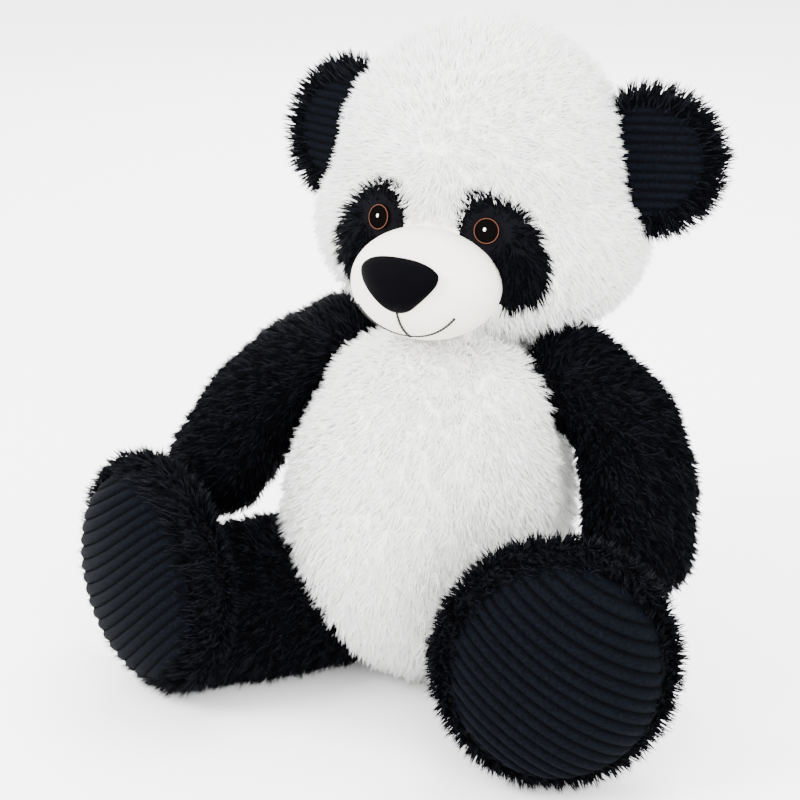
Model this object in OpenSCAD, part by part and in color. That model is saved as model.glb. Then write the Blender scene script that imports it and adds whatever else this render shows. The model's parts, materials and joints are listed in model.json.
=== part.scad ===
// Large seated plush panda, cut and sewn from plush panels over fibre stuffing.
// Millimetres. +Z is up, the panda faces -Y and its own left side is +X.
// The origin is the middle of the flat seat, on the surface that it sits on.
// Every limb has a ball-shaped root in a flared socket of the torso, so that its
// soft seam can flex. Right-hand pieces are mirror images of the left-hand ones.

/* [Torso] */
// Width of the torso at the belly
torso_w = 240; // [220:1:250]
// Depth of the torso at the belly
torso_d = 220; // [200:1:230]
// Length of the torso along its leaning axis, before the seat and neck are cut
torso_l = 320; // [305:1:335]
// Height of the torso's middle above the seat
torso_z = 132; // [126:1:138]
// How far the torso leans back, in degrees
torso_lean = 20; // [16:1:22]
// Distance from the torso's middle to the neck seam, along its axis
neck_seam = 118; // [110:1:120]
// Height of the seam around the seat panel
seat_seam = 16; // [10:1:24]

/* [Head] */
// Width of the head at the cheeks
cheek_w = 276; // [260:1:284]
// Depth of the head at the cheeks
cheek_d = 204; // [190:1:210]
// Height of the cheek part
cheek_h = 188; // [176:1:192]
// Height of the cheeks' middle
cheek_z = 346; // [344:1:352]
// Width of the crown of the head
crown_w = 242; // [225:1:250]
// Depth of the crown
crown_d = 202; // [190:1:208]
// Height of the crown part
crown_h = 250; // [236:1:260]
// Height of the crown's middle
crown_z = 393; // [388:1:400]
// How far the head's middle sits behind the origin
head_y = 94; // [90:1:98]

/* [Face] */
// Width, depth and height of the muzzle
muzzle_size = [118, 104, 84];
// Height of the muzzle's middle
muzzle_z = 327; // [324:1:332]
// Width, depth and height of the nose
nose_size = [63, 28, 44];
// Distance of each eye from the middle of the face
eye_x = 46; // [42:1:50]
// Height of the eyes
eye_z = 373; // [368:1:378]
// Diameter of the stitched ring around each eye
eye_ring_d = 20; // [16:1:24]
// Width and height of the fur patch around each eye
eye_patch_size = [62, 92];
// How far each eye patch slants, in degrees
eye_patch_slant = 24; // [15:1:32]

/* [Ears] */
// Length of the seam that joins an ear to the head
ear_seam = 104; // [90:1:110]
// How far an ear stands out from its seam
ear_reach = 56; // [48:1:60]
// Thickness of an ear at its seam
ear_t = 20; // [16:1:22]
// Place of the middle of the left ear's seam
ear_at = [133, 114, 408];
// Turns of the left ear about X, Y and Z, in degrees
ear_turn = [-15, -14, 20];

/* [Arms] */
// Middle of the left shoulder
shoulder = [90, 54, 226];
// Middle of the left elbow
elbow = [140, 48, 208];
// Middle of the left paw
paw = [179, -15, 150];
// Radius of the arm's root in its socket
shoulder_r = 36; // [33:1:37]
// Half the thickness of the arm
arm_r = 42; // [38:1:43]

/* [Legs] */
// Middle of the left hip
hip = [68, -15, 60];
// Radius of the thigh's root in its socket
hip_r = 59; // [56:1:60]
// Half the thickness of the leg beside the foot
leg_r = 59; // [56:1:60]
// Distance from the hip to the middle of the foot
leg_l = 152; // [145:1:160]
// How far each leg points outwards, in degrees
leg_splay = 38.5; // [35:0.5:41]
// How far each sole faces outwards, in degrees
sole_splay = 29; // [26:1:34]
// Width, thickness and height of the foot
foot_size = [164, 88, 184];
// Distance from the foot's middle to the seam around the sole
sole_seam = 20; // [16:1:24]

/* [Fabric] */
// Thickness of the plush, backing and pressed pile together
plush_t = 5; // [4:0.5:6]
// Thickness of the smooth muzzle fabric
velour_t = 2.5; // [2:0.5:3]
// Height of the fur patches and stitching above the fabric below
patch_t = 4; // [3:0.5:5]
// Height of stitched lines above the fabric below
stitch_t = 1; // [0.8:0.1:1.4]

/* [Hidden] */
$fn = 96;
space = 1200;                     // edge of the blocks that cut pieces apart
gap = 0.5;                        // free space round a root in its socket
fill_gap = 0.3;                   // between a panel and the stuffing below it
flare = 16;                       // half-angle of the sockets' flared mouths
neck_r = 56;                      // the neck plug is a ball
neck_at = [0, 68, 262];
head_at = [0, head_y, cheek_z];
crown_at = [0, head_y + 5, crown_z];
muzzle_at = [0, head_y - 98, muzzle_z];
muzzle_back = 18;                 // how far back the muzzle's stuffing reaches
nose_at = muzzle_at + [0, -46, 12];
pellets_at = [0, 44, 34];
pellets_size = [72, 52, 42];
eye_patch_at = [eye_x + 9, 0, eye_z - 12];
pupil_d = eye_ring_d - 4;
glint_d = 3.6;
mouth_line_w = 1.8;
smile_r = 50;
arm_away = 24;                    // angle of the arm's socket below level
torso_poles = [0, 0, 45];
head_poles = [0, 0, 0];
muzzle_poles = [37, 23, 0];
nose_poles = [0, 0, 0];
ear_poles = [0, 90, 0];
arm_poles = [0, 0, 90];
leg_poles = [90, 0, 0];
white = [0.96, 0.96, 0.94];
black = [0.07, 0.07, 0.09];
cord_black = [0.09, 0.12, 0.17];
cream = [0.95, 0.92, 0.85];
fibre = [0.90, 0.90, 0.92];
rust = [0.72, 0.30, 0.14];

// ---- Blocks and basic forms ----

// An ellipsoid of the given full size, made smaller all round by inset. Its poles are
// turned to where no seam between panels runs through them.
module ellipsoid(size, inset = 0, poles = [0, 0, 0])
    scale(size / 2 - [inset, inset, inset]) rotate(poles) sphere(1);

// Everything in front of, behind, left of, right of or above a place.
module in_front(y = 0) translate([-space / 2, y - space, -space / 2]) cube(space);
module behind(y = 0) translate([-space / 2, y, -space / 2]) cube(space);
module left_side(x = 0) translate([x, -space / 2, -space / 2]) cube(space);
module right_side(x = 0) translate([x - space, -space / 2, -space / 2]) cube(space);
module above(z = 0) translate([-space / 2, -space / 2, z]) cube(space);
module below(z = 0) translate([-space / 2, -space / 2, z - space]) cube(space);

// The mirror image of a left-hand piece.
module right_hand() mirror([1, 0, 0]) children();

// ---- Torso ----

module torso_frame() translate([0, 0, torso_z]) rotate([-torso_lean, 0, 0]) children();

module torso_form(inset = 0) {
    intersection() {
        torso_frame() intersection() {
            ellipsoid([torso_w, torso_d, torso_l], inset, torso_poles);
            below(neck_seam - inset);
        }
        above(inset);
    }
}

// The hollows that the thighs, the arms and the neck turn in.
module sockets() {
    translate(neck_at) sphere(neck_r + gap);
    both_sides() {
        translate(hip) {
            sphere(hip_r + gap);
            rotate([90, 0, leg_splay])
                cylinder(h = leg_l, r1 = hip_r, r2 = hip_r + leg_l * tan(flare));
        }
        translate(shoulder) {
            sphere(shoulder_r + gap);
            rotate([0, 90 + arm_away, 0])
                cylinder(h = leg_l, r1 = shoulder_r, r2 = shoulder_r + leg_l * tan(2 * flare));
        }
    }
}

module both_sides() {
    children();
    right_hand() children();
}

module torso_skin() {
    difference() {
        torso_form();
        torso_form(plush_t);
        sockets();
    }
}

module belly_panel() {
    color(white) intersection() {
        torso_skin();
        torso_frame() in_front();
        above(seat_seam);
    }
}

module back_left_panel() {
    color(white) intersection() {
        torso_skin();
        torso_frame() behind();
        above(seat_seam);
        left_side();
    }
}

module back_right_panel() right_hand() back_left_panel();

module seat_panel() {
    color(white) intersection() {
        torso_skin();
        below(seat_seam);
    }
}

module torso_stuffing() {
    color(fibre) difference() {
        torso_form(plush_t + fill_gap);
        sockets();
        translate(pellets_at) ellipsoid(pellets_size, -fill_gap);
    }
}

module seat_pellet_bag() {
    color(fibre) intersection() {
        translate(pellets_at) ellipsoid(pellets_size);
        torso_form(plush_t + fill_gap);
    }
}

module neck_stuffing() {
    color(white) translate(neck_at) sphere(neck_r);
}

// ---- Head ----

module head_form(inset = 0) {
    translate(head_at) ellipsoid([cheek_w, cheek_d, cheek_h], inset, head_poles);
    translate(crown_at) ellipsoid([crown_w, crown_d, crown_h], inset, head_poles);
}

module neck_hollow() translate(neck_at) sphere(neck_r + gap);

module head_skin() {
    difference() {
        head_form();
        head_form(plush_t);
        neck_hollow();
        muzzle_form();
    }
}

module face_left_panel() {
    color(white) intersection() {
        head_skin();
        in_front(head_y);
        left_side();
    }
}

module face_right_panel() right_hand() face_left_panel();

module head_back_left_panel() {
    color(white) intersection() {
        head_skin();
        behind(head_y);
        left_side();
    }
}

module head_back_right_panel() right_hand() head_back_left_panel();

module head_stuffing() {
    color(fibre) difference() {
        head_form(plush_t + fill_gap);
        neck_hollow();
        intersection() {
            muzzle_form();
            in_front(muzzle_back + fill_gap);
        }
    }
}

// ---- Muzzle, nose and mouth ----

module muzzle_form(inset = 0) translate(muzzle_at) ellipsoid(muzzle_size, inset, muzzle_poles);

module muzzle_cover() {
    color(cream) difference() {
        muzzle_form();
        muzzle_form(velour_t);
        head_form();
    }
}

module muzzle_stuffing() {
    color(fibre) intersection() {
        muzzle_form(velour_t + fill_gap);
        in_front(muzzle_back);
    }
}

module nose() {
    color(black) difference() {
        translate(nose_at) ellipsoid(nose_size, 0, nose_poles);
        muzzle_form();
    }
}

// A line down from the nose, and a smile across its lower end.
module mouth_outline() {
    drop = 21;
    smile_rise = 24;
    translate([-mouth_line_w / 2, -drop]) square([mouth_line_w, drop]);
    translate([0, smile_r - drop]) intersection() {
        difference() {
            circle(smile_r + mouth_line_w / 2);
            circle(smile_r - mouth_line_w / 2);
        }
        translate([-space / 2, smile_rise - smile_r - space]) square(space);
    }
}

module mouth_stitching() {
    color(black) intersection() {
        difference() {
            muzzle_form(-stitch_t);
            muzzle_form();
        }
        translate(muzzle_at - [0, 0, 12]) rotate([90, 0, 0]) linear_extrude(space) mouth_outline();
    }
}

// ---- Eyes ----

// The part of a layer on the head, from low to high above it, in front of an outline
// that stands upright at a place on the face.
module face_layer(low, high) {
    difference() {
        intersection() {
            head_form(-high);
            in_front(head_y - 30);
            children();
        }
        head_form(-low);
        muzzle_form(-0.01);
    }
}

module eye_rod(d) translate([eye_x, 0, eye_z]) rotate([90, 0, 0]) cylinder(h = space, d = d, center = true);

module left_eye_patch() {
    color(black) face_layer(0, patch_t)
        translate(eye_patch_at) rotate([0, -eye_patch_slant, 0])
            scale([eye_patch_size[0], 1, eye_patch_size[1]])
                rotate([90, 0, 0]) cylinder(h = space, d = 1, center = true);
}

module left_eye_ring() {
    color(rust) difference() {
        face_layer(patch_t, patch_t + stitch_t) eye_rod(eye_ring_d);
        eye_rod(pupil_d);
    }
}

module left_eye_pupil() {
    color(black) difference() {
        face_layer(patch_t, patch_t + stitch_t) eye_rod(pupil_d);
        translate([0, 0, glint_d / 2]) eye_rod(glint_d);
    }
}

module left_eye_glint() {
    color("white") face_layer(patch_t, patch_t + stitch_t)
        translate([0, 0, glint_d / 2]) eye_rod(glint_d);
}

module right_eye_patch() right_hand() left_eye_patch();
module right_eye_ring() right_hand() left_eye_ring();
module right_eye_pupil() right_hand() left_eye_pupil();
module right_eye_glint() right_hand() left_eye_glint();

// ---- Ears ----

// Half a flat oval that stands out along X from its seam, which lies along Z and is
// rounded, so that the ear can fold about it.
module ear_form() {
    translate(ear_at) rotate(ear_turn) {
        intersection() {
            ellipsoid([2 * ear_reach, ear_t, ear_seam], 0, ear_poles);
            left_side();
        }
        intersection() {
            ellipsoid([ear_t, ear_t, ear_seam], 0, ear_poles);
            right_side();
        }
    }
}

module ear_frame() translate(ear_at) rotate(ear_turn) children();

module left_ear_front() {
    color(cord_black) intersection() {
        ear_form();
        ear_frame() in_front();
    }
}

module left_ear_back() {
    color(black) intersection() {
        ear_form();
        ear_frame() behind();
    }
}

module right_ear_front() right_hand() left_ear_front();
module right_ear_back() right_hand() left_ear_back();

// ---- Arms ----

// An ellipsoid with its long axis from one point to another.
module limb_part(from, to, r, past, inset = 0) {
    span = to - from;
    flat = norm([span[0], span[1]]);
    translate((from + to) / 2)
        rotate([0, atan2(flat, span[2]), atan2(span[1], span[0])])
            ellipsoid([2 * r, 2 * r, norm(span) + 2 * past], inset, arm_poles);
}

module arm_form(inset = 0) {
    translate(shoulder) rotate(arm_poles) sphere(shoulder_r - inset);
    limb_part(shoulder + [12, 0, -4], elbow, arm_r - 3, arm_r - 8, inset);
    limb_part(elbow, paw, arm_r + 2, arm_r, inset);
}

// The block that lies in front of the seams along the arm.
module arm_front() {
    span = paw - elbow;
    translate(elbow) rotate([atan2(span[2], span[1]) + 180, 0, 0])
        translate([-space / 2, -space / 2, 0]) cube(space);
}

module arm_skin() {
    difference() {
        arm_form();
        arm_form(plush_t);
    }
}

module left_arm_front_panel() {
    color(black) intersection() {
        arm_skin();
        arm_front();
    }
}

module left_arm_back_panel() {
    color(black) difference() {
        arm_skin();
        arm_front();
    }
}

module left_arm_stuffing() color(fibre) arm_form(plush_t + fill_gap);

module right_arm_front_panel() right_hand() left_arm_front_panel();
module right_arm_back_panel() right_hand() left_arm_back_panel();
module right_arm_stuffing() right_hand() left_arm_stuffing();

// ---- Legs ----

module leg_frame() translate(hip) rotate([0, 0, leg_splay]) children();

module foot_frame()
    translate([0, -leg_l, foot_size[2] / 2 - hip[2]]) rotate([0, 0, sole_splay - leg_splay]) children();

// The whole leg and foot, with the heel on the floor.
module leg_form(inset = 0) {
    leg_frame() {
        rotate(leg_poles) sphere(hip_r - inset);
        rotate([90, 0, 0])
            cylinder(h = leg_l, r1 = hip_r - 3 - inset, r2 = leg_r - inset);
        foot_frame() ellipsoid(foot_size, inset, leg_poles);
    }
}

module leg_skin() {
    difference() {
        leg_form();
        leg_form(plush_t);
    }
}

module left_leg_outer_panel() {
    color(black) difference() {
        intersection() {
            leg_skin();
            leg_frame() left_side();
        }
        leg_frame() foot_frame() in_front(-sole_seam);
    }
}

module left_leg_inner_panel() {
    color(black) difference() {
        intersection() {
            leg_skin();
            leg_frame() right_side();
        }
        leg_frame() foot_frame() in_front(-sole_seam);
    }
}

module left_foot_sole() {
    color(cord_black) intersection() {
        leg_skin();
        leg_frame() foot_frame() in_front(-sole_seam);
    }
}

module left_leg_stuffing() color(fibre) leg_form(plush_t + fill_gap);

module right_leg_inner_panel() right_hand() left_leg_inner_panel();
module right_leg_outer_panel() right_hand() left_leg_outer_panel();
module right_foot_sole() right_hand() left_foot_sole();
module right_leg_stuffing() right_hand() left_leg_stuffing();

// ---- Every node ----

belly_panel();
back_left_panel();
back_right_panel();
seat_panel();
torso_stuffing();
seat_pellet_bag();
neck_stuffing();
face_left_panel();
face_right_panel();
head_back_left_panel();
head_back_right_panel();
head_stuffing();
muzzle_cover();
muzzle_stuffing();
nose();
mouth_stitching();
left_eye_patch();
left_eye_ring();
left_eye_pupil();
left_eye_glint();
right_eye_patch();
right_eye_ring();
right_eye_pupil();
right_eye_glint();
left_ear_front();
left_ear_back();
right_ear_front();
right_ear_back();
left_arm_front_panel();
left_arm_back_panel();
left_arm_stuffing();
right_arm_front_panel();
right_arm_back_panel();
right_arm_stuffing();
left_leg_inner_panel();
left_leg_outer_panel();
left_foot_sole();
left_leg_stuffing();
right_leg_inner_panel();
right_leg_outer_panel();
right_foot_sole();
right_leg_stuffing();
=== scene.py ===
import json
from math import cos, pi, radians, sin

import bmesh
import bpy
from mathutils import Matrix, Vector


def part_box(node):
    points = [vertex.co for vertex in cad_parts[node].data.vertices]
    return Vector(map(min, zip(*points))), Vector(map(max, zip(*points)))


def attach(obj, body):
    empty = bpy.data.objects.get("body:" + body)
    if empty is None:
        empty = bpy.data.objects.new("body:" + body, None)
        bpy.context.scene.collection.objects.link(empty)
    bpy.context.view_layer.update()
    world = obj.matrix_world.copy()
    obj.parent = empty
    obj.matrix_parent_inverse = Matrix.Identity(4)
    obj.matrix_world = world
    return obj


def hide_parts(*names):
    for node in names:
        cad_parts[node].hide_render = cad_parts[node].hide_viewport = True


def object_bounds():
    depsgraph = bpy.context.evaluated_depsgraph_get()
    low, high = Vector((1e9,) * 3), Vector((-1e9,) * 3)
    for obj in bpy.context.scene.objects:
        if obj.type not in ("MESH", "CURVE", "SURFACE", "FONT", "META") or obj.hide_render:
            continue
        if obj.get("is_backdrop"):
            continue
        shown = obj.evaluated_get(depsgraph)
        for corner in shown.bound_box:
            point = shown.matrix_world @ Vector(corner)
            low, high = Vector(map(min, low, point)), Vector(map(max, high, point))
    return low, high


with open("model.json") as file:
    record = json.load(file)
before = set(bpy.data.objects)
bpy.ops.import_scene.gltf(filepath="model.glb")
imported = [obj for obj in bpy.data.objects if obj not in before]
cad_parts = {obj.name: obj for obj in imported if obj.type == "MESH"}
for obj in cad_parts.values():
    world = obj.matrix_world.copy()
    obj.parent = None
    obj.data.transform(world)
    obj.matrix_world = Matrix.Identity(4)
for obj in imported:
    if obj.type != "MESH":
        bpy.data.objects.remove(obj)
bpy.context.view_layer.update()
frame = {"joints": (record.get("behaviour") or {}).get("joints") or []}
joints = {joint["name"]: joint for joint in frame["joints"]}
scene = bpy.context.scene


# ---- The stuffed torso ----
# A bag of white plush, sewn from a belly, two back pieces and a seat, turned and
# packed with fibre. It leans back on a flattened seat over a small bag of pellets.
pile_room = 0.008  # the backing lies this far under the tips of the pile
floor_z = 0.001  # the lowest that any pile reaches

torso_middle = Vector((0, 0, 0.132))
torso_half = Vector((0.120, 0.110, 0.160))
chest_half = Vector((0.093, 0.074, 0.056))
chest_rise = 0.092
torso_turn = Matrix.Rotation(radians(-20), 4, "X")
torso_up = torso_turn @ Vector((0, 0, 1))
torso_back = torso_turn @ Vector((0, 1, 0))
seat_seam = 0.016


def ball(bm, middle, half, turn=Matrix.Identity(4)):
    """A round lump of stuffing, which later grows into one form with its neighbours."""
    place = Matrix.Translation(middle) @ turn @ Matrix.Diagonal((*half, 1))
    bmesh.ops.create_icosphere(bm, subdivisions=4, radius=1, matrix=place)


def added(name, bm):
    mesh = bpy.data.meshes.new(name)
    bm.to_mesh(mesh)
    bm.free()
    piece = bpy.data.objects.new(name, mesh)
    scene.collection.objects.link(piece)
    return piece


def settled(piece):
    """Applies the modifiers of a piece to its mesh."""
    seen = piece.evaluated_get(bpy.context.evaluated_depsgraph_get())
    mesh = bpy.data.meshes.new_from_object(seen)
    piece.modifiers.clear()
    old, piece.data = piece.data, mesh
    bpy.data.meshes.remove(old)
    mesh.name = piece.name


def stuffed(name, bm, on_seam, cell=0.006, most=0.004, flat=None, fine=0):
    """Sews one skin round the lumps, then packs it, so that it swells between its seams.
    No point swells further than most. flat moves the points of the finished skin."""
    form = added(name, bm)
    skin = form.modifiers.new("one_skin", "REMESH")
    skin.mode, skin.voxel_size = "VOXEL", cell
    soften = form.modifiers.new("soften", "SMOOTH")
    soften.factor, soften.iterations = 0.5, 10
    settled(form)
    start = [v.co.copy() for v in form.data.vertices]
    seams = form.vertex_groups.new(name="seams")
    seams.add([i for i, p in enumerate(start) if on_seam(p)], 1, "REPLACE")
    cloth = form.modifiers.new("stuffing", "CLOTH")
    cloth.settings.vertex_group_mass = "seams"
    cloth.settings.use_pressure = True
    cloth.settings.uniform_pressure_force = 4
    cloth.settings.effector_weights.gravity = 0
    cloth.point_cache.frame_end = 20
    for step in range(1, 21):
        scene.frame_set(step)
    settled(form)
    form.vertex_groups.clear()
    for vertex, old in zip(form.data.vertices, start):
        moved = vertex.co - old
        if moved.length > most:
            vertex.co = old + moved * (most / moved.length)
    for vertex in form.data.vertices:
        if flat:
            vertex.co = flat(vertex.co)
        vertex.co.z = max(vertex.co.z, floor_z + 0.004)
    finer = form.modifiers.new("finer", "SUBSURF")
    finer.levels = finer.render_levels = fine
    settled(form)
    for face in form.data.polygons:
        face.use_smooth = True
    return form


def torso_seam(p):
    along = p - torso_middle
    side_seam = abs(along.dot(torso_back)) < 0.004
    back_seam = abs(p.x) < 0.004 and along.dot(torso_back) > 0
    return side_seam or back_seam or abs(p.z - seat_seam) < 0.005


def tucked(p, way=1):
    """The low front of the belly is drawn back and in, over the seat. The way -1 undoes it."""
    low = max(1 - p.z / 0.13, 0) ** 1.5
    front = min(max((0.07 - p.y) / 0.16, 0), 1)
    return Vector((p.x * (1 - 0.3 * low) ** way, p.y + 0.05 * low * front * way, p.z))


def deep_in_torso(p):
    """Whether a part of a limb stays inside the torso however the limb is moved."""
    away = tucked(p, -1) - torso_middle
    reach = torso_half * 0.8
    spans = (away.x / reach.x, away.dot(torso_back) / reach.y, away.dot(torso_up) / reach.z)
    return Vector(spans).length < 1


lumps = bmesh.new()
ball(lumps, torso_middle, torso_half - Vector((1, 1, 1)) * pile_room, torso_turn)
ball(lumps, torso_middle + torso_up * chest_rise, chest_half, torso_turn)
torso = stuffed("torso_backing", lumps, torso_seam, flat=tucked)


def plush_backing(name, colour, shade, sheen=0.2, specular=0.3):
    """The knitted ground of the plush, seen between the roots of the pile."""
    cloth = bpy.data.materials.new(name)
    cloth.use_nodes = True
    nodes, links = cloth.node_tree.nodes, cloth.node_tree.links
    shader = nodes["Principled BSDF"]
    shader.inputs["Roughness"].default_value = 0.95
    shader.inputs["Sheen Weight"].default_value = sheen
    shader.inputs["Specular IOR Level"].default_value = specular
    place = nodes.new("ShaderNodeTexCoord")
    mottle = nodes.new("ShaderNodeTexNoise")
    mottle.inputs["Scale"].default_value = 60
    ramp = nodes.new("ShaderNodeValToRGB")
    ramp.color_ramp.elements[0].color = (*shade, 1)
    ramp.color_ramp.elements[1].color = (*colour, 1)
    knit = nodes.new("ShaderNodeTexVoronoi")
    knit.inputs["Scale"].default_value = 900
    bump = nodes.new("ShaderNodeBump")
    bump.inputs["Strength"].default_value = 0.4
    bump.inputs["Distance"].default_value = 0.0006
    links.new(place.outputs["Object"], mottle.inputs["Vector"])
    links.new(place.outputs["Object"], knit.inputs["Vector"])
    links.new(mottle.outputs["Fac"], ramp.inputs["Fac"])
    links.new(ramp.outputs["Color"], shader.inputs["Base Color"])
    links.new(knit.outputs["Distance"], bump.inputs["Height"])
    links.new(bump.outputs["Normal"], shader.inputs["Normal"])
    return cloth


white_backing = plush_backing("white_plush_backing", (0.95, 0.945, 0.92), (0.90, 0.89, 0.86))
torso.data.materials.clear()
torso.data.materials.append(white_backing)
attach(torso, "torso")
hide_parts("torso_stuffing", "seat_pellet_bag")


# ---- The pile of the torso ----
# White plush with a pile of 12 mm, brushed downwards. Its fibres cling together in
# small pointed tufts, and it parts along the seams between the panels.
def wisp_of_pile():
    """Fibres that spread from one root. Every pile is sown with copies of it."""
    bm = bmesh.new()
    for turn, lean, bend in ((0.3, 0.6, 3.0), (2.4, 1.6, 0.9), (4.5, 0.9, 0.4)):
        root = Vector((1.2 * cos(turn), 1.2 * sin(turn), 0))
        ring = bmesh.ops.create_circle(bm, segments=3, radius=1)
        bmesh.ops.translate(bm, verts=ring["verts"], vec=root)
        rim = list({e for v in ring["verts"] for e in v.link_edges})
        if bend > 1:
            out = bmesh.ops.extrude_edge_only(bm, edges=rim)["geom"]
            waist = [g for g in out if isinstance(g, bmesh.types.BMVert)]
            rim = [g for g in out if isinstance(g, bmesh.types.BMEdge)]
            bmesh.ops.translate(bm, verts=waist, vec=(lean, 0, 0.5))
        out = bmesh.ops.extrude_edge_only(bm, edges=rim)["geom"]
        ends = [g for g in out if isinstance(g, bmesh.types.BMVert)]
        point = root + Vector((lean + bend, turn - 2.4, 1))
        bmesh.ops.pointmerge(bm, verts=ends, merge_co=point)
    bmesh.ops.recalc_face_normals(bm, faces=bm.faces)
    for face in bm.faces:
        face.smooth = True
    return added("wisp_of_pile", bm)


wisp = wisp_of_pile()
wisp.hide_render = True


def pile_material(name, colour, sheen_colour, sheen=0.3, rough=0.75, specular=0.3):
    fibre = bpy.data.materials.new(name)
    fibre.use_nodes = True
    shader = fibre.node_tree.nodes["Principled BSDF"]
    shader.inputs["Base Color"].default_value = (*colour, 1)
    shader.inputs["Roughness"].default_value = rough
    shader.inputs["Specular IOR Level"].default_value = specular
    shader.inputs["Sheen Weight"].default_value = sheen
    shader.inputs["Sheen Roughness"].default_value = 0.4
    shader.inputs["Sheen Tint"].default_value = (*sheen_colour, 1)
    return fibre


fibre_width = 0.00042


def sown(panel, length, comb_from, comb_along, lean, count, seed, tones, tuft=0.010):
    """Sows a panel with pile: count wisps to a square metre, that lean away from a point
    and along a direction, and gather in tufts of a size. Leaves only the pile."""
    tree = bpy.data.node_groups.new(panel.name + "_pile", "GeometryNodeTree")
    tree.interface.new_socket("Geometry", in_out="INPUT", socket_type="NodeSocketGeometry")
    tree.interface.new_socket("Geometry", in_out="OUTPUT", socket_type="NodeSocketGeometry")

    def node(kind, inputs, out=0, **settings):
        new = tree.nodes.new(kind)
        for key, value in settings.items():
            setattr(new, key, value)
        for key, value in inputs.items():
            if isinstance(value, bpy.types.NodeSocket):
                tree.links.new(value, new.inputs[key])
            else:
                new.inputs[key].default_value = value
        return new.outputs[out]

    def maths(operation, a, b=0.0):
        return node("ShaderNodeMath", {0: a, 1: b}, operation=operation)

    def vector(operation, a, b=(0, 0, 0)):
        return node("ShaderNodeVectorMath", {0: a, 1: b}, operation=operation)

    def scaled(a, by):
        return node("ShaderNodeVectorMath", {0: a, "Scale": by}, operation="SCALE")

    def chance(low, high, number):
        return node(
            "FunctionNodeRandomValue", {2: low, 3: high, "Seed": number}, 1, data_type="FLOAT"
        )

    ground = tree.nodes.new("NodeGroupInput").outputs[0]
    place = node("GeometryNodeInputPosition", {})
    share = node("GeometryNodeInputNamedAttribute", {"Name": "pile"}, data_type="FLOAT")
    crowd = maths("MULTIPLY", maths("GREATER_THAN", share, 0.05), count)
    roots = node(
        "GeometryNodeDistributePointsOnFaces", {"Mesh": ground, "Density": crowd, "Seed": seed}
    )
    out = roots.node.outputs["Normal"]
    away = vector("NORMALIZE", vector("SUBTRACT", place, comb_from))
    swirl = node("ShaderNodeTexNoise", {"Vector": place, "Scale": 22.0}, 1)
    swirl = vector("SUBTRACT", swirl, (0.5, 0.5, 0.5))
    comb = vector("ADD", vector("ADD", away, comb_along), scaled(swirl, 0.9))
    flat = vector("NORMALIZE", vector("SUBTRACT", comb, vector("PROJECT", comb, out)))
    middle = node("ShaderNodeTexVoronoi", {"Vector": place, "Scale": 1 / tuft}, 2)
    gather = scaled(vector("SUBTRACT", middle, place), 0.55 / length)
    stray = node(
        "FunctionNodeRandomValue",
        {0: (-0.2, -0.2, -0.2), 1: (0.2, 0.2, 0.2), "Seed": seed + 1},
        data_type="FLOAT_VECTOR",
    )
    rise = vector("ADD", scaled(out, 1 - lean), scaled(flat, lean))
    rise = vector("ADD", vector("ADD", rise, gather), stray)
    upright = node("FunctionNodeAlignRotationToVector", {"Vector": rise}, axis="Z")
    turned = node(
        "FunctionNodeAlignRotationToVector",
        {"Rotation": upright, "Vector": flat},
        axis="X",
        pivot_axis="Z",
    )
    thick = maths("MULTIPLY", chance(0.7, 1.3, seed + 2), fibre_width)
    tall = maths("MULTIPLY", chance(0.7, 1.15, seed + 3), length)
    tall = maths("MULTIPLY", tall, share)
    size = node("ShaderNodeCombineXYZ", {0: thick, 1: thick, 2: tall})
    strand = node("GeometryNodeObjectInfo", {"Object": wisp}, "Geometry")
    sprouts = node(
        "GeometryNodeInstanceOnPoints",
        {"Points": roots, "Instance": strand, "Rotation": turned, "Scale": size},
    )
    pile = node("GeometryNodeRealizeInstances", {"Geometry": sprouts})
    apart = node("ShaderNodeSeparateXYZ", {0: place}, 2)
    side = apart.node
    level = maths("MAXIMUM", apart, floor_z)
    lifted = node("ShaderNodeCombineXYZ", {0: side.outputs[0], 1: side.outputs[1], 2: level})
    pile = node("GeometryNodeSetPosition", {"Geometry": pile, "Position": lifted})
    pile = node("GeometryNodeSetMaterial", {"Geometry": pile, "Material": tones[0]})
    face = node("GeometryNodeInputIndex", {})
    which = maths("FLOOR", maths("DIVIDE", face, len(wisp.data.polygons)))
    other = node(
        "FunctionNodeRandomValue",
        {"Probability": 0.35, "ID": which, "Seed": seed + 4},
        3,
        data_type="BOOLEAN",
    )
    pile = node(
        "GeometryNodeSetMaterial", {"Geometry": pile, "Selection": other, "Material": tones[1]}
    )
    leave = tree.nodes.new("NodeGroupOutput")
    tree.links.new(pile, leave.inputs[0])
    sow = panel.modifiers.new("pile", "NODES")
    sow.node_group = tree
    settled(panel)
    bpy.data.node_groups.remove(tree)


def panel_of(form, name, keep, share=None):
    """A copy of the part of a form where keep is true, with its share of the pile's length."""
    bm = bmesh.new()
    bm.from_mesh(form.data)
    gone = [f for f in bm.faces if not keep(f.calc_center_median())]
    bmesh.ops.delete(bm, geom=gone, context="FACES")
    layer = bm.verts.layers.float.new("pile")
    for vertex in bm.verts:
        vertex[layer] = share(vertex.co) if share else 1.0
    return added(name, bm)


def dressed(piece, body, slot, *nodes):
    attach(piece, body)
    if nodes:
        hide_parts(*nodes)


def near(distance, closest, fullest):
    """0 at a seam and 1 well away from it, with a smooth rise between."""
    part = min(max((distance - closest) / (fullest - closest), 0), 1)
    return part * part * (3 - 2 * part)


neck_place = Vector(joints["neck_turn"]["pos_m"])
shoulder = Vector(joints["left_shoulder_swing"]["pos_m"])
hip = Vector(joints["left_hip_splay"]["pos_m"])
white_tones = (
    pile_material("white_pile", (0.97, 0.97, 0.96), (1, 1, 1)),
    pile_material("cream_pile", (0.95, 0.945, 0.92), (1, 0.99, 0.96)),
)


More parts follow.
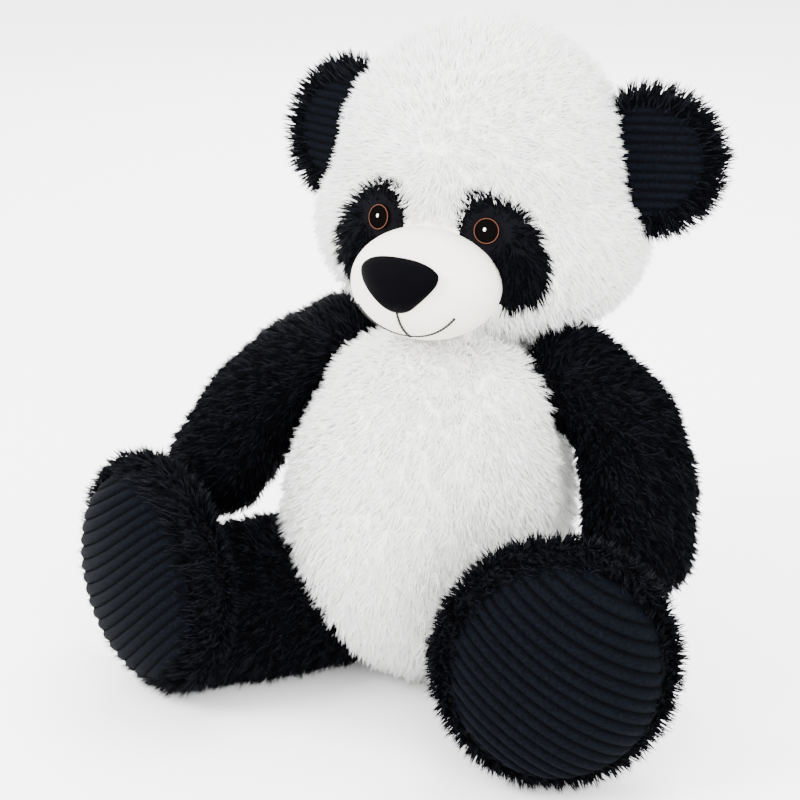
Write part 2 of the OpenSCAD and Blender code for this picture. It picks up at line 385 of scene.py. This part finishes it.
def torso_pile(p):
    """Full length but for the seams, and none where a limb or the head covers it."""
    on_left = Vector((abs(p.x), p.y, p.z))
    if (on_left - shoulder).length < 0.030 or (on_left - hip).length < 0.050:
        return 0
    if (p - neck_place).length < 0.030 or p.z > 0.275:
        return 0
    side = abs((p - torso_middle).dot(torso_back))
    return 0.6 + 0.4 * near(min(side, abs(p.z - seat_seam)), 0.0, 0.010)


def torso_is(front, side):
    def keep(p):
        forward = (p - torso_middle).dot(torso_back) < 0
        return p.z > seat_seam and forward == front and p.x * side >= 0

    return keep


torso_panels = (
    ("belly_left_pile", torso_is(True, 1), "belly_panel", 10),
    ("belly_right_pile", torso_is(True, -1), "belly_panel", 11),
    ("back_left_pile", torso_is(False, 1), "back_left_panel", 12),
    ("back_right_pile", torso_is(False, -1), "back_right_panel", 13),
    ("seat_pile", lambda p: p.z <= seat_seam, "seat_panel", 14),
)
for name, keep, node_name, seed in torso_panels:
    pile = panel_of(torso, name, keep, torso_pile)
    top = torso_middle + torso_up * 0.2
    sown(pile, 0.013, top, (0, 0, -0.4), 0.45, 155000, seed, white_tones)
    dressed(pile, "torso", "white_plush", node_name)


# ---- The neck ----
# A soft plug of white plush between the torso and the head. The head turns and nods
# on it, and the pile on both sides hides it.
neck_half = (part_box("neck_stuffing")[1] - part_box("neck_stuffing")[0]) / 2
lumps = bmesh.new()
ball(lumps, neck_place, neck_half * 0.92)
neck = stuffed("neck_backing", lumps, lambda p: abs(p.z - neck_place.z) < 0.003, 0.008, 0.001)
neck.data.materials.clear()
neck.data.materials.append(white_backing)
dressed(neck, "neck", "white_plush", "neck_stuffing")
pile = panel_of(neck, "neck_pile", lambda p: abs(p.z - neck_place.z) < 0.035)
sown(pile, 0.011, neck_place, (0, 0, -0.6), 0.45, 200000, 15, white_tones)
dressed(pile, "neck", "white_plush")


# ---- The head ----
# A big egg of white plush, widest at the cheeks, from a left and a right face piece
# and two back pieces, packed firmly with fibre.
muzzle_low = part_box("muzzle_cover")[0]
muzzle_half = Vector((0.062, 0.052, 0.045))
muzzle_middle = Vector((0, muzzle_low.y + muzzle_half.y, muzzle_low.z + muzzle_half.z - 0.004))
head_y = 0.094
cheeks = (Vector((0, head_y, 0.346)), Vector((0.142, 0.102, 0.094)))
crown = (Vector((0, head_y + 0.005, 0.393)), Vector((0.123, 0.101, 0.125)))


def head_seam(p):
    return abs(p.y - head_y) < 0.004 or abs(p.x) < 0.004


lumps = bmesh.new()
for middle, half in (cheeks, crown):
    ball(lumps, middle, half - Vector((1, 1, 1)) * pile_room)
head = stuffed("head_backing", lumps, head_seam, most=0.003, fine=1)
head.data.materials.clear()
head.data.materials.append(white_backing)
dressed(head, "head", "white_plush", "head_stuffing")

patch_half = (0.029, 0.045)
patch_middle = (0.053, 0.353)
patch_slant = radians(24)
far_outside = 9


def in_patch(p):
    """Below 1 inside the drop-shaped eye patch, and above 1 outside it."""
    if p.y > head_y - 0.03:
        return far_outside
    across = abs(p.x) - patch_middle[0]
    up = p.z - patch_middle[1]
    long = up * cos(patch_slant) - across * sin(patch_slant)
    wide = across * cos(patch_slant) + up * sin(patch_slant)
    wide /= patch_half[0] * (1 - 0.18 * long / patch_half[1])
    return (wide**2 + (long / patch_half[1]) ** 2) ** 0.5


def in_muzzle(p, margin=0.0):
    away = p - muzzle_middle
    return Vector([away[k] / (muzzle_half[k] + margin) for k in range(3)]).length


def head_pile(p):
    if in_muzzle(p, 0.001) < 1 or (p - neck_place).length < 0.035:
        return 0
    share = 0.45 + 0.55 * near(in_muzzle(p), 1.0, 1.35)
    share *= 0.5 + 0.5 * near(in_patch(p), 1.0, 1.4)
    return share * (0.75 + 0.25 * near(abs(p.y - head_y), 0, 0.012))


def head_is(front, side):
    def keep(p):
        return (p.y < head_y) == front and p.x * side >= 0 and in_patch(p) > 1

    return keep


head_panels = (
    ("face_left_pile", head_is(True, 1), "face_left_panel", 21),
    ("face_right_pile", head_is(True, -1), "face_right_panel", 22),
    ("head_back_left_pile", head_is(False, 1), "head_back_left_panel", 23),
    ("head_back_right_pile", head_is(False, -1), "head_back_right_panel", 24),
)
forehead = Vector((0, 0.03, 0.42))
for name, keep, node_name, seed in head_panels:
    pile = panel_of(head, name, keep, head_pile)
    sown(pile, 0.0125, forehead, (0, 0, -0.15), 0.4, 168000, seed, white_tones)
    dressed(pile, "head", "white_plush", node_name)


# ---- The muzzle ----
# A smooth dome of cream velour, padded and sewn onto the face, with the edge turned in.
def velour():
    """Short, dense velour: soft, slightly mottled and faintly furry at a glancing angle."""
    cloth = bpy.data.materials.new("cream_velour_cloth")
    cloth.use_nodes = True
    nodes, links = cloth.node_tree.nodes, cloth.node_tree.links
    shader = nodes["Principled BSDF"]
    shader.inputs["Roughness"].default_value = 0.85
    shader.inputs["Sheen Weight"].default_value = 0.2
    shader.inputs["Sheen Roughness"].default_value = 0.5
    shader.inputs["Specular IOR Level"].default_value = 0.2
    place = nodes.new("ShaderNodeTexCoord")
    mottle = nodes.new("ShaderNodeTexNoise")
    mottle.inputs["Scale"].default_value = 45
    mottle.inputs["Detail"].default_value = 6
    ramp = nodes.new("ShaderNodeValToRGB")
    ramp.color_ramp.elements[0].color = (0.74, 0.67, 0.585, 1)
    ramp.color_ramp.elements[1].color = (0.80, 0.74, 0.66, 1)
    fuzz = nodes.new("ShaderNodeTexNoise")
    fuzz.inputs["Scale"].default_value = 900
    fuzz.inputs["Detail"].default_value = 4
    bump = nodes.new("ShaderNodeBump")
    bump.inputs["Strength"].default_value = 0.6
    bump.inputs["Distance"].default_value = 0.0006
    links.new(place.outputs["Object"], mottle.inputs["Vector"])
    links.new(place.outputs["Object"], fuzz.inputs["Vector"])
    links.new(mottle.outputs["Fac"], ramp.inputs["Fac"])
    links.new(ramp.outputs["Color"], shader.inputs["Base Color"])
    links.new(fuzz.outputs["Fac"], bump.inputs["Height"])
    links.new(bump.outputs["Normal"], shader.inputs["Normal"])
    return cloth


lumps = bmesh.new()
ball(lumps, muzzle_middle, muzzle_half - Vector((1, 1, 1)) * 0.0015)
muzzle = stuffed("muzzle", lumps, lambda p: p.y > muzzle_middle.y + 0.03, 0.004, 0.0015, fine=1)
muzzle.data.materials.clear()
muzzle.data.materials.append(velour())
dressed(muzzle, "head", "cream_velour", "muzzle_cover", "muzzle_stuffing")


def on_surface(form, x, z, rise=0.0):
    """The place on the front of a form at x and z, and the way it faces."""
    _, place, facing, _ = form.ray_cast((x, -1, z), (0, 1, 0))
    return place + facing * rise, facing


# ---- The nose ----
# A rounded triangle of black satin, lightly padded, with a flat top and its point down.
nose_low, nose_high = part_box("nose")
nose_middle = Vector((0, nose_low.y, (nose_low.z + nose_high.z) / 2))
nose_half = (nose_high - nose_low) / 2
nose_reach = Vector((nose_half.x * 1.06, 0.009, nose_half.z * 1.14))  # the padded cover


def satin(name, colour, rough, specular):
    cloth = bpy.data.materials.new(name)
    cloth.use_nodes = True
    nodes, links = cloth.node_tree.nodes, cloth.node_tree.links
    shader = nodes["Principled BSDF"]
    shader.inputs["Base Color"].default_value = (*colour, 1)
    shader.inputs["Roughness"].default_value = rough
    shader.inputs["Specular IOR Level"].default_value = specular
    place = nodes.new("ShaderNodeTexCoord")
    weave = nodes.new("ShaderNodeTexWave")
    weave.inputs["Scale"].default_value = 700
    weave.inputs["Distortion"].default_value = 2
    bump = nodes.new("ShaderNodeBump")
    bump.inputs["Strength"].default_value = 0.12
    bump.inputs["Distance"].default_value = 0.0002
    links.new(place.outputs["Object"], weave.inputs["Vector"])
    links.new(weave.outputs["Fac"], bump.inputs["Height"])
    links.new(bump.outputs["Normal"], shader.inputs["Normal"])
    return cloth


bm = bmesh.new()
bmesh.ops.create_uvsphere(bm, u_segments=64, v_segments=40, radius=1)
for v in bm.verts:
    x, y, z = v.co
    wide = 0.58 + 0.42 * near(z, -1.0, 0.4)
    side = abs(x) ** 0.88 * (1 if x > 0 else -1)
    high = z if z < 0.3 else 0.3 + (z - 0.3) * 0.72
    out = Vector((side * wide, y, high + 0.08))
    wrap = 0.011 * out.x**2 + 0.007 * (out.z - 0.1) ** 2
    v.co = nose_middle + out * nose_reach + Vector((0, wrap + 0.005, -0.002))
bmesh.ops.recalc_face_normals(bm, faces=bm.faces)
nose = added("nose_pad", bm)
for face in nose.data.polygons:
    face.use_smooth = True
nose.data.materials.append(satin("nose_satin_cloth", (0.0007, 0.0007, 0.0011), 0.6, 0.01))
dressed(nose, "head", "nose_satin", "nose")


# ---- The mouth ----
# One line of black back stitches down from the nose, and a curve to each side of it.
def stitched(bm, path, thick, spare=0.12):
    """Laid stitches from each point of a path to the next, with a small space between."""
    for start, end in zip(path, path[1:]):
        span = end - start
        turn = span.to_track_quat("Z", "Y").to_matrix().to_4x4()
        half_length = span.length * (0.5 - spare / 2) + thick / 3
        half = Matrix.Diagonal((thick / 2, thick / 2, half_length, 1))
        place = Matrix.Translation((start + end) / 2) @ turn @ half
        bmesh.ops.create_uvsphere(bm, u_segments=8, v_segments=6, radius=1, matrix=place)


def thread(name, colour):
    return pile_material(name, colour, (1, 1, 1), sheen=0, rough=0.5, specular=0.2)


mouth_top = nose_middle.z - nose_half.z * 1.08
mouth_fork = muzzle_middle.z - 0.033
smile_r, smile_span = 0.050, radians(54)
thread_thick = 0.0021
bm = bmesh.new()
drop = []
for k in range(9):
    t = k / 8
    down = mouth_top + (mouth_fork - mouth_top) * t
    drop.append(on_surface(muzzle, 0.003 * t**2, down, 0.0008)[0])
stitched(bm, drop, thread_thick)
smile = []
for k in range(-16, 17):
    t = k / 16
    across, up = smile_r * sin(t * smile_span), smile_r * (1 - cos(t * smile_span))
    smile.append(on_surface(muzzle, across, mouth_fork + up, 0.0012 * t**2)[0])
stitched(bm, smile, thread_thick, 0.35)
mouth = added("mouth_stitches", bm)
for face in mouth.data.polygons:
    face.use_smooth = True
mouth.data.materials.append(thread("black_thread_line", (0.012, 0.012, 0.012)))
dressed(mouth, "head", "black_thread", "mouth_stitching")


# ---- The eye patches ----
# Drops of long black pile let into the face, slanting down and outwards round each eye.
black_backing = plush_backing(
    "black_plush_backing", (0.002, 0.002, 0.003), (0.001, 0.001, 0.0015), sheen=0, specular=0.05
)
black_tones = (
    pile_material("black_pile", (0.0008, 0.0008, 0.0014), (0.5, 0.55, 0.75), 0.003, 0.6, 0.02),
    pile_material("blue_black_pile", (0.0014, 0.0018, 0.0035), (0.5, 0.55, 0.8), 0.006, 0.5, 0.06),
)
eye_x, eye_z = 0.0445, 0.369
eye_r = 0.010
eye_place, eye_facing = on_surface(head, eye_x, eye_z)


def patch_pile(p):
    away = ((abs(p.x) - eye_place.x) ** 2 + (p.z - eye_place.z) ** 2) ** 0.5
    if away < eye_r + 0.001 or in_muzzle(p, 0.001) < 1:
        return 0
    return 0.35 + 0.65 * near(away, eye_r, 0.026)


def mirrored(piece, name):
    """The other hand of a piece, with its faces turned to point outwards again."""
    mesh = piece.data.copy()
    mesh.transform(Matrix.Scale(-1, 4, (1, 0, 0)))
    mesh.flip_normals()
    mesh.name = name
    other = bpy.data.objects.new(name, mesh)
    scene.collection.objects.link(other)
    return other


def other_hand(piece, body, slot, *nodes):
    twin = mirrored(piece, piece.name.replace("left", "right"))
    names = [n.replace("left", "right") for n in nodes]
    dressed(twin, body.replace("left", "right"), slot, *names)
    return twin


patch = panel_of(head, "left_eye_patch_backing", lambda p: p.x > 0 and in_patch(p) <= 1.0)
patch.data.transform(Matrix.Translation(eye_facing * 0.0008))
pad = patch.modifiers.new("pad", "SOLIDIFY")
pad.thickness, pad.offset = 0.002, 0
settled(patch)
patch.data.materials.clear()
patch.data.materials.append(black_backing)
dressed(patch, "head", "black_plush")
other_hand(patch, "head", "black_plush")
pile = panel_of(head, "left_eye_patch_pile", lambda p: p.x > 0 and in_patch(p) <= 1, patch_pile)
patch_root = Vector((0.052, eye_place.y + 0.01, 0.366))
sown(pile, 0.0135, patch_root, (0, 0, 0), 0.5, 330000, 31, black_tones, 0.008)
dressed(pile, "head", "black_plush", "left_eye_patch")
other_hand(pile, "head", "black_plush", "left_eye_patch")


# ---- The eyes ----
# Embroidered: a black disc of satin stitch, a thin ring of rust-coloured stitches
# round it, and one small white stitch that gives it a look.
eye_turn = (-eye_facing).to_track_quat("-Z", "Y").to_matrix().to_4x4()
eye_at = Matrix.Translation(eye_place + eye_facing * 0.0035) @ eye_turn
hoop_r, hoop_stitches = eye_r * 0.93, 56


def embroidered_spot(name, place, half, segments, rings):
    bm = bmesh.new()
    form = place @ Matrix.Diagonal((*half, 1))
    bmesh.ops.create_uvsphere(
        bm, u_segments=segments, v_segments=rings, radius=1, matrix=form
    )
    return added(name, bm)


pupil = embroidered_spot("left_eye_disc", eye_at, (eye_r, eye_r, 0.0042), 48, 24)
bm = bmesh.new()
ring = []
for k in range(hoop_stitches + 1):
    turn = 2 * pi * k / hoop_stitches
    ring.append(eye_at @ Vector((hoop_r * cos(turn), hoop_r * sin(turn), 0.0016)))
stitched(bm, ring, 0.0008, 0.0)
hoop = added("left_eye_hoop", bm)
glint_at = eye_at @ Matrix.Translation((-0.001, 0.001, 0.0039))
glint = embroidered_spot("left_eye_stitch", glint_at, (0.0012, 0.0015, 0.0006), 20, 12)
black_thread = satin("eye_black_thread", (0.0015, 0.0012, 0.0012), 0.6, 0.0)
rust_thread = thread("eye_rust_thread", (0.07, 0.019, 0.007))
white_thread = thread("eye_white_thread", (0.9, 0.9, 0.9))
eye_pieces = (
    (pupil, black_thread, "black_thread", "left_eye_pupil"),
    (hoop, rust_thread, "rust_thread", "left_eye_ring"),
    (glint, white_thread, "white_thread", "left_eye_glint"),
)
for piece, material, slot, node_name in eye_pieces:
    for face in piece.data.polygons:
        face.use_smooth = True
    piece.data.materials.append(material)
    dressed(piece, "head", slot, node_name)
    other_hand(piece, "head", slot, node_name)


# ---- The ears ----
# Half ovals, a little cupped: black corduroy in front, long black pile behind and
# round the rim. Each is closed into a straight seam on the side of the head.
ear_at = Vector(joints["left_ear_fold"]["pos_m"]) + Vector((-0.003, 0, 0.001))
ear_turn = (
    Matrix.Rotation(radians(20), 4, "Z")
    @ Matrix.Rotation(radians(-14), 4, "Y")
    @ Matrix.Rotation(radians(-15), 4, "X")
)
ear_frame = Matrix.Translation(ear_at) @ ear_turn
into_ear = ear_frame.inverted()
ear_half = Vector((0.056, 0.009, 0.052))


def ear_rim(p):
    q = into_ear @ p
    return ((q.x / ear_half.x) ** 2 + (q.z / ear_half.z) ** 2) ** 0.5


bm = bmesh.new()
bmesh.ops.create_icosphere(bm, subdivisions=5, radius=1, matrix=Matrix.Diagonal((*ear_half, 1)))
for v in bm.verts:
    rim = (v.co.x / ear_half.x) ** 2 + (v.co.z / ear_half.z) ** 2
    if v.co.x < 0:
        v.co.x *= 0.4
    v.co.y -= 0.007 * (rim - 0.5)
bmesh.ops.transform(bm, matrix=ear_frame, verts=bm.verts)
ear = added("left_ear_backing", bm)
for face in ear.data.polygons:
    face.use_smooth = True
ear.data.materials.append(black_backing)
dressed(ear, "left_ear", "black_plush")
other_hand(ear, "left_ear", "black_plush")


def ear_front(p):
    q = into_ear @ p
    return q.y < -0.002 + 0.004 * ear_rim(p) and ear_rim(p) < 0.74


def ear_pile(p):
    return 1.15 if ear_rim(p) > 0.8 else 0.85


pile = panel_of(ear, "left_ear_pile", lambda p: not ear_front(p), ear_pile)
ear_root = ear_at - ear_turn @ Vector((0.02, 0, 0))
sown(pile, 0.013, ear_root, (0, 0, 0), 0.45, 270000, 41, black_tones, 0.008)
dressed(pile, "left_ear", "black_plush", "left_ear_back")
other_hand(pile, "left_ear", "black_plush", "left_ear_back")


def corduroy():
    """Dark corduroy: a soft cut pile, lighter where it is brushed, with painted shade that turns
    it near black in the furrows.
    """
    cloth = bpy.data.materials.new("black_corduroy_cloth")
    cloth.use_nodes = True
    nodes, links = cloth.node_tree.nodes, cloth.node_tree.links
    shader = nodes["Principled BSDF"]
    shader.inputs["Roughness"].default_value = 0.8
    shader.inputs["Specular IOR Level"].default_value = 0.02
    shader.inputs["Sheen Weight"].default_value = 0.004
    shader.inputs["Sheen Roughness"].default_value = 0.4
    shader.inputs["Sheen Tint"].default_value = (0.35, 0.5, 0.7, 1)
    place = nodes.new("ShaderNodeTexCoord")
    brushed = nodes.new("ShaderNodeTexNoise")
    brushed.inputs["Scale"].default_value = 420
    brushed.inputs["Detail"].default_value = 5
    ramp = nodes.new("ShaderNodeValToRGB")
    ramp.color_ramp.elements[0].position = 0.3
    ramp.color_ramp.elements[0].color = (0.0005, 0.0007, 0.0013, 1)
    ramp.color_ramp.elements[1].position = 0.75
    ramp.color_ramp.elements[1].color = (0.0018, 0.0024, 0.0042, 1)
    crest = nodes.new("ShaderNodeAttribute")
    crest.attribute_name = "crest"
    painted_furrow_shade = nodes.new("ShaderNodeMix")
    painted_furrow_shade.data_type = "RGBA"
    # Painted shade: where the crest attribute falls towards 0 in the furrows, the colour is mixed
    # towards near black.
    painted_furrow_shade.inputs["A"].default_value = (0.0001, 0.0001, 0.0002, 1)
    fuzz = nodes.new("ShaderNodeTexNoise")
    fuzz.inputs["Scale"].default_value = 1100
    bump = nodes.new("ShaderNodeBump")
    bump.inputs["Strength"].default_value = 0.5
    bump.inputs["Distance"].default_value = 0.0006
    links.new(place.outputs["Object"], brushed.inputs["Vector"])
    links.new(place.outputs["Object"], fuzz.inputs["Vector"])
    links.new(brushed.outputs["Fac"], ramp.inputs["Fac"])
    links.new(crest.outputs["Fac"], painted_furrow_shade.inputs["Factor"])
    links.new(ramp.outputs["Color"], painted_furrow_shade.inputs["B"])
    links.new(painted_furrow_shade.outputs["Result"], shader.inputs["Base Color"])
    links.new(fuzz.outputs["Fac"], bump.inputs["Height"])
    links.new(bump.outputs["Normal"], shader.inputs["Normal"])
    return cloth


cord_cloth = corduroy()
rib_pitch = 0.009


def rib(u, pitch):
    """1 on the crest of a rounded rib, which falls to a narrow furrow at each pitch."""
    return abs(sin(pi * u / pitch)) ** 0.6


def cord_pad(name, half, place, depth, across, pitch, height, trim, wall=0.003):
    """An oval of corduroy with raised ribs. depth gives how far it stands out and across
    the distance over the ribs, both at a place on the pad."""
    bm = bmesh.new()
    steps = [int(2 * h / 0.0011) for h in half]
    bmesh.ops.create_grid(bm, x_segments=steps[0], y_segments=steps[1], size=1)
    middles = {f: f.calc_center_median() for f in bm.faces}
    spare = [f for f, middle in middles.items() if middle.length > 1 or trim(middle)]
    bmesh.ops.delete(bm, geom=spare, context="FACES")
    crest = bm.verts.layers.float.new("crest")
    for v in bm.verts:
        x, z = v.co.x * half[0], v.co.y * half[1]
        edge = near(1 - v.co.xy.length, 0, 0.06)
        # crest, the height of each rib, also paints shade into the furrows through the cloth's
        # colour.
        v[crest] = rib(across(x, z), pitch)
        v.co = Vector((x, -depth(x, z) - v[crest] * height * edge, z))
    bmesh.ops.recalc_face_normals(bm, faces=bm.faces)
    if sum((f.normal.y for f in bm.faces), 0.0) > 0:
        bmesh.ops.reverse_faces(bm, faces=bm.faces)
    bmesh.ops.transform(bm, matrix=place, verts=bm.verts)
    pad = added(name, bm)
    thick = pad.modifiers.new("cloth", "SOLIDIFY")
    thick.thickness = wall
    settled(pad)
    for face in pad.data.polygons:
        face.use_smooth = True
    pad.data.materials.clear()
    pad.data.materials.append(cord_cloth)
    return pad


def ear_stand(x, z):
    rim = (x / ear_half.x) ** 2 + (z / ear_half.z) ** 2
    sunk = 0.004 * min(rim / 0.77, 1.2) ** 4
    return ear_half.y * max(1 - rim, 0.02) ** 0.5 + 0.007 * (rim - 0.5) + 0.002 - sunk


front = cord_pad(
    "left_ear_cord",
    (ear_half.x * 0.86, ear_half.z * 0.86),
    ear_frame,
    ear_stand,
    lambda x, z: z + 0.25 * x,
    0.0075,
    0.0020,
    lambda c: c.x < -0.3,
)
dressed(front, "left_ear", "black_corduroy", "left_ear_front")
other_hand(front, "left_ear", "black_corduroy", "left_ear_front")


# ---- The arms ----
# Soft tubes of black plush from a round root in the shoulder seam, bent down at the
# elbow to a rounded paw that rests beside the thigh.
elbow = Vector((0.144, 0.050, 0.219))
paw = Vector((0.184, -0.016, 0.148))
arm_path = (
    (shoulder + Vector((0.008, 0.006, 0.024)), 0.042),
    (elbow, 0.046),
    ((elbow + paw) / 2 + Vector((0.005, 0.004, 0.004)), 0.048),
    (paw, 0.046),
)


def limb(bm, path, steps=6):
    for (start, thick), (end, thin) in zip(path, path[1:]):
        for k in range(steps + 1):
            t = k / steps
            r = thick + (thin - thick) * t - pile_room
            ball(bm, start.lerp(end, t), (r, r, r))


arm_over = Vector((1, 0, 0)).cross(paw - elbow).normalized()
lumps = bmesh.new()
limb(lumps, arm_path)
arm = stuffed("left_arm_backing", lumps, lambda p: abs((p - elbow).dot(arm_over)) < 0.003)
arm.data.materials.clear()
arm.data.materials.append(black_backing)
dressed(arm, "left_arm", "black_plush", "left_arm_stuffing")
other_hand(arm, "left_arm", "black_plush", "left_arm_stuffing")


def arm_pile(p):
    """None on the root, deep inside the torso, and shorter along the seam."""
    if deep_in_torso(p):
        return 0
    return 0.7 + 0.3 * near(abs((p - elbow).dot(arm_over)), 0, 0.008)


arm_panels = (
    ("left_arm_front_pile", lambda p: (p - elbow).dot(arm_over) < 0, "left_arm_front_panel", 51),
    ("left_arm_back_pile", lambda p: (p - elbow).dot(arm_over) >= 0, "left_arm_back_panel", 52),
)
arm_root = shoulder - Vector((0.03, 0, 0))
for name, keep, node_name, seed in arm_panels:
    pile = panel_of(arm, name, keep, arm_pile)
    sown(pile, 0.012, arm_root, (0, 0, 0), 0.5, 192000, seed, black_tones, 0.009)
    dressed(pile, "left_arm", "black_plush", node_name)
    other_hand(pile, "left_arm", "black_plush", node_name)


# ---- The legs ----
# Thick tubes of black plush that lie on the floor, splayed outwards, each ending in a
# big upright foot with its heel down.
leg_turn = Matrix.Rotation(radians(38.5), 4, "Z")
foot_turn = Matrix.Rotation(radians(25), 4, "Z")
leg_across = leg_turn @ Vector((1, 0, 0))
foot_half = Vector((0.094, 0.043, 0.102))
foot_middle = hip + leg_turn @ Vector((0.004, -0.156, 0))
foot_middle.z = foot_half.z
foot_frame = Matrix.Translation(foot_middle) @ foot_turn
into_foot = foot_frame.inverted()
thigh_rise = Vector((0, 0, 0.004))
ankle = foot_middle.copy()
ankle.z = 0.060
leg_path = (
    (hip + thigh_rise, 0.066),
    (hip.lerp(ankle, 0.5) + thigh_rise, 0.068),
    (hip.lerp(ankle, 0.85), 0.060),
)
lumps = bmesh.new()
limb(lumps, leg_path, 5)
ball(lumps, foot_middle, foot_half - Vector((1, 1.2, 1)) * pile_room, foot_turn)


def leg_seam(p):
    sole = into_foot @ p
    return abs((p - hip).dot(leg_across)) < 0.003 or abs(sole.y + 0.02) < 0.004


leg = stuffed("left_leg_backing", lumps, leg_seam)
leg.data.materials.clear()
leg.data.materials.append(black_backing)
dressed(leg, "left_leg", "black_plush", "left_leg_stuffing")
other_hand(leg, "left_leg", "black_plush", "left_leg_stuffing")
sole_half = (0.076, 0.084)


def leg_pile(p):
    """None under the sole or deep in the torso, and longest round the rim of the foot."""
    sole = into_foot @ p
    rim = ((sole.x / sole_half[0]) ** 2 + (sole.z / sole_half[1]) ** 2) ** 0.5
    if deep_in_torso(p) or (sole.y < -0.01 and rim < 0.92):
        return 0
    seam = near(abs((p - hip).dot(leg_across)), 0, 0.008)
    rim_long = 0.15 * near(-sole.y, -0.01, 0.02)
    return 0.75 + 0.25 * seam + rim_long


leg_panels = (
    ("left_leg_outer_pile", lambda p: (p - hip).dot(leg_across) >= 0, "left_leg_outer_panel", 61),
    ("left_leg_inner_pile", lambda p: (p - hip).dot(leg_across) < 0, "left_leg_inner_panel", 62),
)
for name, keep, node_name, seed in leg_panels:
    pile = panel_of(leg, name, keep, leg_pile)
    sown(pile, 0.0125, hip, (0, 0, 0), 0.45, 168000, seed, black_tones, 0.009)
    dressed(pile, "left_leg", "black_plush", node_name)
    other_hand(pile, "left_leg", "black_plush", node_name)


# ---- The soles ----
# Ovals of dark corduroy, sewn over the front of each foot. The ribs run slantwise, down
# towards the outside, and bend with the stretch of the cloth.
def sole_stand(x, z):
    round_off = max(1 - (x / foot_half.x) ** 2 - (z / foot_half.z) ** 2, 0.0)
    rim = (x / sole_half[0]) ** 2 + (z / sole_half[1]) ** 2
    return foot_half.y * round_off**0.5 * 0.95 + 0.001 - 0.007 * rim**4


def sole_across(x, z):
    return (z + 0.72 * x - 2.6 * x * x) / 1.22


sole = cord_pad(
    "left_sole_cord",
    sole_half,
    foot_frame,
    sole_stand,
    sole_across,
    rib_pitch,
    0.0036,
    lambda c: False,
)
dressed(sole, "left_leg", "black_corduroy", "left_foot_sole")
other_hand(sole, "left_leg", "black_corduroy", "left_foot_sole")
bpy.data.objects.remove(wisp)


# ---- The room ----
# A flat pale floor, soft light from large panels and from all round, and the camera.
def pale_floor():
    bm = bmesh.new()
    bmesh.ops.create_grid(bm, x_segments=1, y_segments=1, size=6)
    floor = added("floor", bm)
    paint = bpy.data.materials.new("pale_floor")
    paint.use_nodes = True
    shader = paint.node_tree.nodes["Principled BSDF"]
    shader.inputs["Base Color"].default_value = (0.97, 0.97, 0.97, 1)
    shader.inputs["Roughness"].default_value = 0.7
    floor.data.materials.append(paint)
    floor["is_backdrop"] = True


def soft_panel(name, place, aim, size, power):
    lamp = bpy.data.lights.new(name, "AREA")
    lamp.shape, lamp.size, lamp.energy = "DISK", size, power
    holder = bpy.data.objects.new(name, lamp)
    holder.location = place
    holder.rotation_euler = (Vector(aim) - Vector(place)).to_track_quat("-Z", "Y").to_euler()
    scene.collection.objects.link(holder)


pale_floor()
soft_panel("key", (-1.6, -2.2, 2.4), (0, 0, 0.25), 1.6, 220)
soft_panel("fill", (2.2, -1.8, 1.4), (0, 0, 0.25), 1.8, 130)
soft_panel("top", (0.2, 0.6, 2.6), (0, 0, 0.3), 1.6, 90)
soft_panel("back", (-1.2, 2.2, 1.6), (0, 0, 0.3), 1.5, 50)
world = bpy.data.worlds.new("studio")
world.use_nodes = True
world.node_tree.nodes["Background"].inputs["Color"].default_value = (1, 1, 1, 1)
world.node_tree.nodes["Background"].inputs["Strength"].default_value = 4.2
scene.world = world

eye_level = bpy.data.cameras.new("camera")
eye_level.lens = 90
camera = bpy.data.objects.new("camera", eye_level)
target = Vector((0, -0.048, 0.245))
camera_away = 1.518
turn, lift = radians(27), radians(20)
back = Vector((sin(turn) * cos(lift), -cos(turn) * cos(lift), sin(lift)))
camera.location = target + back * camera_away
camera.rotation_euler = (-back).to_track_quat("-Z", "Y").to_euler()
scene.collection.objects.link(camera)
scene.camera = camera

low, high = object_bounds()
